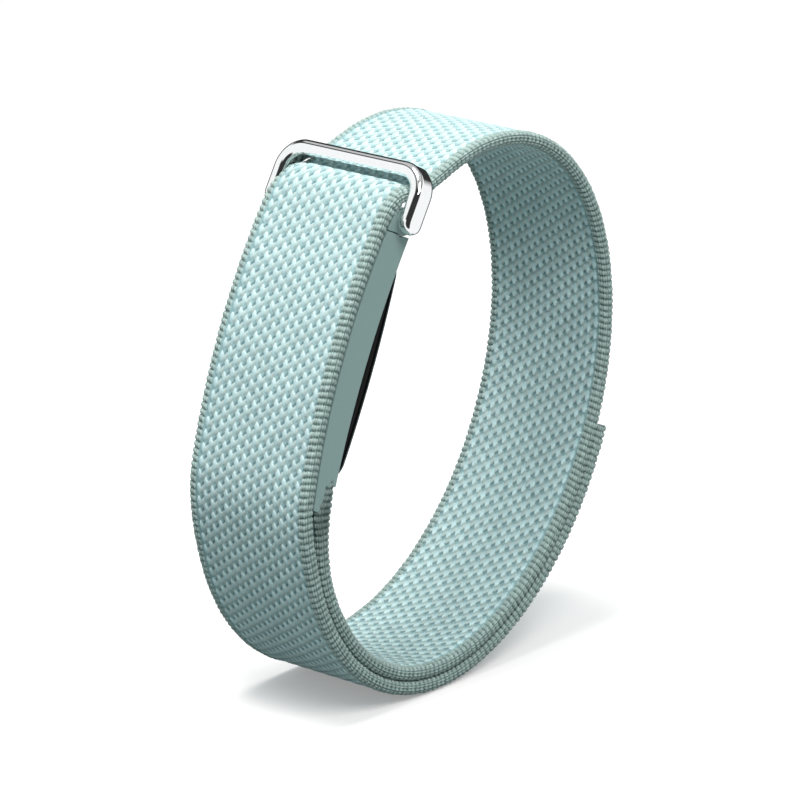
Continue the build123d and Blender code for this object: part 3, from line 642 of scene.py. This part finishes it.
def finish(name, first, second, rough, pattern, bump=0.0, metallic=0.0, coat=0.0, specular=0.5):
    """A material of two near colours in a pattern, with roughness and relief that follow it."""
    made, tree, shader = material(name)
    value = pattern(tree)
    colour = mixed(tree, ranged(tree, value, 0, 1), first, second)
    tree.links.new(colour, shader.inputs["Base Color"])
    tree.links.new(ranged(tree, value, *rough), shader.inputs["Roughness"])
    shader.inputs["Metallic"].default_value = metallic
    shader.inputs["Coat Weight"].default_value = coat
    shader.inputs["Coat Roughness"].default_value = COAT_ROUGHNESS
    shader.inputs["Specular IOR Level"].default_value = specular
    if bump:
        bumped(tree, shader, value, bump, RELIEF)
    return made


def grain(scale, detail=4.0, stretch=(1, 1, 1)):
    """A pattern of noise."""
    return lambda tree: noise(tree, scale, detail, stretch)


looks = {
    "thread": finish("thread", (0.40, 0.52, 0.50), (0.30, 0.42, 0.40), (0.6, 0.8),
                     lambda tree: stripes(tree, 900.0, stretch=(1, 0.6, 0.6)), 0.8),
    "hook_fabric": finish("hook_fabric", (0.16, 0.22, 0.21), (0.26, 0.34, 0.33), (0.45, 0.65),
                          lambda tree: cells(tree, 2200.0), 0.6),
    "link_steel": finish("link_steel", (0.52, 0.54, 0.55), (0.60, 0.62, 0.63), (0.25, 0.38),
                         grain(400.0, 3.0, BRUSHED), 0.2, 1.0),
    "sage_shell": finish("sage_shell", (0.305, 0.424, 0.405), (0.315, 0.436, 0.416), (0.42, 0.54),
                         grain(3500.0, 5.0), 0.25, specular=0.35),
    "polished_steel": finish("polished_steel", (0.93, 0.95, 0.95), (0.90, 0.925, 0.925),
                             (0.03, 0.06), grain(1500.0), 0.0, 1.0),
    "gloss_black": finish("gloss_black", (0.0015, 0.0015, 0.002), (0.002, 0.002, 0.0025),
                          (0.08, 0.12), grain(300.0), specular=0.06),
    "gasket_rubber": finish("gasket_rubber", (0.30, 0.40, 0.38), (0.34, 0.45, 0.42), (0.5, 0.65),
                            grain(2500.0), 0.3),
    "window_glass": finish("window_glass", (0.006, 0.006, 0.009), (0.010, 0.010, 0.014),
                           (0.03, 0.06), grain(250.0), coat=0.5),
    "copper": finish("copper", (0.72, 0.34, 0.18), (0.50, 0.20, 0.09), (0.22, 0.4),
                     lambda tree: stripes(tree, 1300.0, rings=True), 0.6, 1.0),
    "ferrite": finish("ferrite", (0.05, 0.05, 0.055), (0.09, 0.09, 0.095), (0.5, 0.75),
                      lambda tree: cells(tree, 1800.0), 0.4),
    "battery_pouch": finish("battery_pouch", (0.60, 0.61, 0.63), (0.68, 0.69, 0.71), (0.28, 0.42),
                            grain(500.0, 3.0), 0.5, 0.9),
    "foam": finish("foam", (0.05, 0.05, 0.05), (0.10, 0.10, 0.10), (0.85, 0.95),
                   lambda tree: cells(tree, 3500.0), 1.0),
    "flex_film": finish("flex_film", (0.55, 0.25, 0.04), (0.66, 0.34, 0.08), (0.2, 0.32),
                        lambda tree: stripes(tree, 500.0, stretch=(1, 0.2, 0.2)), 0.15, coat=0.3),
    "board": finish("board", (0.02, 0.13, 0.07), (0.035, 0.21, 0.12), (0.3, 0.45),
                    lambda tree: stripes(tree, 330.0, distortion=6.0), 0.3, coat=0.3),
    "shield": finish("shield", (0.62, 0.63, 0.64), (0.70, 0.71, 0.72), (0.2, 0.34),
                     grain(350.0, 3.0, BRUSHED), 0.15, 1.0),
    "chip": finish("chip", (0.022, 0.022, 0.025), (0.035, 0.035, 0.04), (0.5, 0.65),
                   grain(4000.0), 0.35),
    "connector": finish("connector", (0.55, 0.50, 0.40), (0.62, 0.57, 0.46), (0.35, 0.5),
                        lambda tree: stripes(tree, 700.0), 0.5),
    "green_led": finish("green_led", (0.08, 0.50, 0.16), (0.14, 0.68, 0.25), (0.1, 0.2),
                        grain(1800.0), coat=0.6),
    "infrared_led": finish("infrared_led", (0.40, 0.04, 0.05), (0.52, 0.07, 0.08), (0.1, 0.2),
                           grain(1800.0), coat=0.6),
    "photodiode": finish("photodiode", (0.07, 0.05, 0.11), (0.13, 0.10, 0.20), (0.08, 0.16),
                         lambda tree: stripes(tree, 600.0), coat=0.5),
    "baffle": finish("baffle", (0.012, 0.012, 0.012), (0.02, 0.02, 0.02), (0.8, 0.92),
                     grain(3500.0), 0.4),
    "motor_steel": finish("motor_steel", (0.55, 0.56, 0.58), (0.64, 0.65, 0.67), (0.2, 0.35),
                          lambda tree: stripes(tree, 500.0, rings=True, distortion=1.5), 0.15, 1.0),
    "rotor_metal": finish("rotor_metal", (0.32, 0.32, 0.34), (0.42, 0.42, 0.44), (0.35, 0.55),
                          grain(1500.0), 0.4, 1.0),
}

# the knit's colours, with their painted highlights and painted shade, come from its mesh, and
# fibres too fine for it vary them a little
knit_cloth, tree, shader = material("knit_cloth")
yarn_and_light = tree.nodes.new("ShaderNodeAttribute")
yarn_and_light.attribute_name = "yarn_and_light"
fibre = noise(tree, 5200.0, 3.0, (1.0, 0.35, 0.35))
vary = tree.nodes.new("ShaderNodeHueSaturation")
tree.links.new(yarn_and_light.outputs["Color"], vary.inputs["Color"])
tree.links.new(ranged(tree, fibre, 0.93, 1.07), vary.inputs["Value"])
tree.links.new(vary.outputs["Color"], shader.inputs["Base Color"])
tree.links.new(ranged(tree, fibre, 0.72, 0.88), shader.inputs["Roughness"])
shader.inputs["Sheen Weight"].default_value = 0.08
shader.inputs["Sheen Roughness"].default_value = 0.4
shader.inputs["Specular IOR Level"].default_value = 0.25
bumped(tree, shader, fibre, 0.4, FIBRE_RELIEF)

for part in frame["record"]["subparts"]:
    if part["material_slot"] in looks:
        node = frame["nodes"][part["node"]]
        node.data.materials.clear()
        node.data.materials.append(looks[part["material_slot"]])

# ---------------------------------------------------------------- the strap's pieces
seam = at_angle(SEAM_ANGLE)
patch = (at_angle(PATCH_ANGLES[0]), at_angle(PATCH_ANGLES[1]))
strap_inner = strap_mesh("strap_wrist_side", 0.0, under_bar)
strap_outer = strap_mesh("strap_over_pod", under_bar, seam, coarse_below=True)
strap_tail = strap_mesh("strap_free_end", seam, route_length, patch=patch)
for piece in (strap_inner, strap_outer, strap_tail):
    piece.data.materials.append(knit_cloth)
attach(strap_inner, "band")
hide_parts("strap_inner_run")
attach(strap_outer, "band")
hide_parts("strap_outer_run")
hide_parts("strap_tail")
tape = hook_tape("hook_tape", *patch)
tape.data.materials.append(looks["hook_fabric"])
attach(tape, "tail")
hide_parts("hook_patch")

ring = ring_mesh("ring")
ring.data.materials.append(looks["polished_steel"])
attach(ring, "clasp")
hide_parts("clasp_ring")


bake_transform(strap_tail)

# ---------------------------------------------------------------- camera, light and floor
AZIMUTH, ELEVATION = math.radians(41.1), math.radians(17.3)
TARGET = np.array([0.0, -2.369, -0.576]) * MM
DISTANCE = 680.6 * MM
SENSOR, LENS = 36.0, 220.5  # millimetres
# lamps: name, place in metres, size in metres, power in watts
LAMPS = (("overhead", (-0.06, -0.14, 0.68), 0.30, 3.3),
         ("side", (0.48, -0.28, 0.64), 0.40, 3.8))
FLOOR_SIZE = 4.0
FLOOR_GAP = 0.25 * MM       # below the solids, for the knit that stands proud of them
PAPER_SEEN = (0.90, 0.84, 0.83)
PAPER_GLOW = 0.28           # seen by the camera alone
PAPER_BOUNCE = (0.24, 0.27, 0.27)
SKY_TINT = (0.80, 0.97, 1.0)
GAP_LIGHT = 0.015           # what metal sees in the gaps between the panels
LEAST_LIGHT = 0.035

towards = np.array([math.sin(AZIMUTH) * math.cos(ELEVATION),
                    -math.cos(AZIMUTH) * math.cos(ELEVATION),
                    math.sin(ELEVATION)])
camera_data = bpy.data.cameras.new("camera")
camera_data.sensor_width = SENSOR
camera_data.lens = LENS
camera_data.clip_start = 0.01
camera = bpy.data.objects.new("camera", camera_data)
bpy.context.scene.collection.objects.link(camera)
camera.location = TARGET + DISTANCE * towards
camera.rotation_euler = Vector(-towards).to_track_quat("-Z", "Y").to_euler()
bpy.context.scene.camera = camera
bpy.context.scene.view_settings.view_transform = "Standard"


def math_node(tree, operation, first, second):
    """A sum, product or other result of two values, each a socket or a number."""
    node = tree.nodes.new("ShaderNodeMath")
    node.operation = operation
    for socket, value in zip(node.inputs, (first, second)):
        if isinstance(value, (int, float)):
            socket.default_value = value
        else:
            tree.links.new(value, socket)
    return node.outputs["Value"]


def lamp(name, place, size, power):
    """A soft square lamp that looks at the band."""
    data = bpy.data.lights.new(name, "AREA")
    data.size = size
    data.energy = power
    made = bpy.data.objects.new(name, data)
    bpy.context.scene.collection.objects.link(made)
    made.location = place
    made.rotation_euler = Vector([-v for v in place]).to_track_quat("-Z", "Y").to_euler()


for described in LAMPS:
    lamp(*described)

# The camera sees pale paper. It is see-through to reflections, so that metal shows the world.
bpy.ops.mesh.primitive_plane_add(size=FLOOR_SIZE, location=(0, 0, cad_box[0][2] - FLOOR_GAP))
floor = bpy.context.object
floor.name = "floor"
paper, tree, shader = material("paper")
path = tree.nodes.new("ShaderNodeLightPath")
tree.links.new(mixed(tree, path.outputs["Is Camera Ray"], PAPER_BOUNCE, PAPER_SEEN),
               shader.inputs["Base Color"])
shader.inputs["Roughness"].default_value = 1.0
shader.inputs["Specular IOR Level"].default_value = 0.0
shader.inputs["Emission Color"].default_value = (1, 1, 1, 1)
tree.links.new(math_node(tree, "MULTIPLY", path.outputs["Is Camera Ray"], PAPER_GLOW),
               shader.inputs["Emission Strength"])
clear = tree.nodes.new("ShaderNodeBsdfTransparent")
either = tree.nodes.new("ShaderNodeMixShader")
tree.links.new(path.outputs["Is Glossy Ray"], either.inputs["Fac"])
tree.links.new(shader.outputs["BSDF"], either.inputs[1])
tree.links.new(clear.outputs["BSDF"], either.inputs[2])
tree.links.new(either.outputs["Shader"], tree.nodes["Material Output"].inputs["Surface"])
floor.data.materials.append(paper)

# The sky is brighter overhead. Metal sees white panels with dark gaps between them.
world = bpy.context.scene.world or bpy.data.worlds.new("World")
bpy.context.scene.world = world
world.use_nodes = True
tree = world.node_tree
background = tree.nodes["Background"]
path = tree.nodes.new("ShaderNodeLightPath")
place = tree.nodes.new("ShaderNodeTexCoord")
split = tree.nodes.new("ShaderNodeSeparateXYZ")
tree.links.new(place.outputs["Generated"], split.inputs["Vector"])
height = split.outputs["Z"]
sky = ranged(tree, height, 0.12, 0.58, -0.2, 1.0)


def away_from(direction, start, end):
    """1 away from a direction, falling to 0 near it."""
    dot = tree.nodes.new("ShaderNodeVectorMath")
    dot.operation = "DOT_PRODUCT"
    dot.inputs[1].default_value = tuple(direction)
    tree.links.new(place.outputs["Generated"], dot.inputs[0])
    return ranged(tree, dot.outputs["Value"], 1.0, GAP_LIGHT, start, end)


# gaps in front and behind draw the ring's edges, and one at mid height its upper edge
sides = math_node(tree, "MULTIPLY", away_from(towards, 0.62, 0.74), away_from(-towards, 0.36, 0.52))
levels = math_node(tree, "ADD", ranged(tree, height, 1.0, 0.04, 0.53, 0.57),
                   ranged(tree, height, 0.0, 0.55, 0.69, 0.73))
panels = math_node(tree, "MAXIMUM", math_node(tree, "MULTIPLY", sides, levels), LEAST_LIGHT)
glossy = path.outputs["Is Glossy Ray"]
not_glossy = math_node(tree, "SUBTRACT", 1.0, glossy)
lit = math_node(tree, "ADD", math_node(tree, "MULTIPLY", panels, glossy),
                math_node(tree, "MULTIPLY", sky, not_glossy))
tree.links.new(math_node(tree, "MAXIMUM", lit, path.outputs["Is Camera Ray"]),
               background.inputs["Strength"])
tree.links.new(mixed(tree, path.outputs["Is Diffuse Ray"], (1.0, 1.0, 1.0), SKY_TINT),
               background.inputs["Color"])
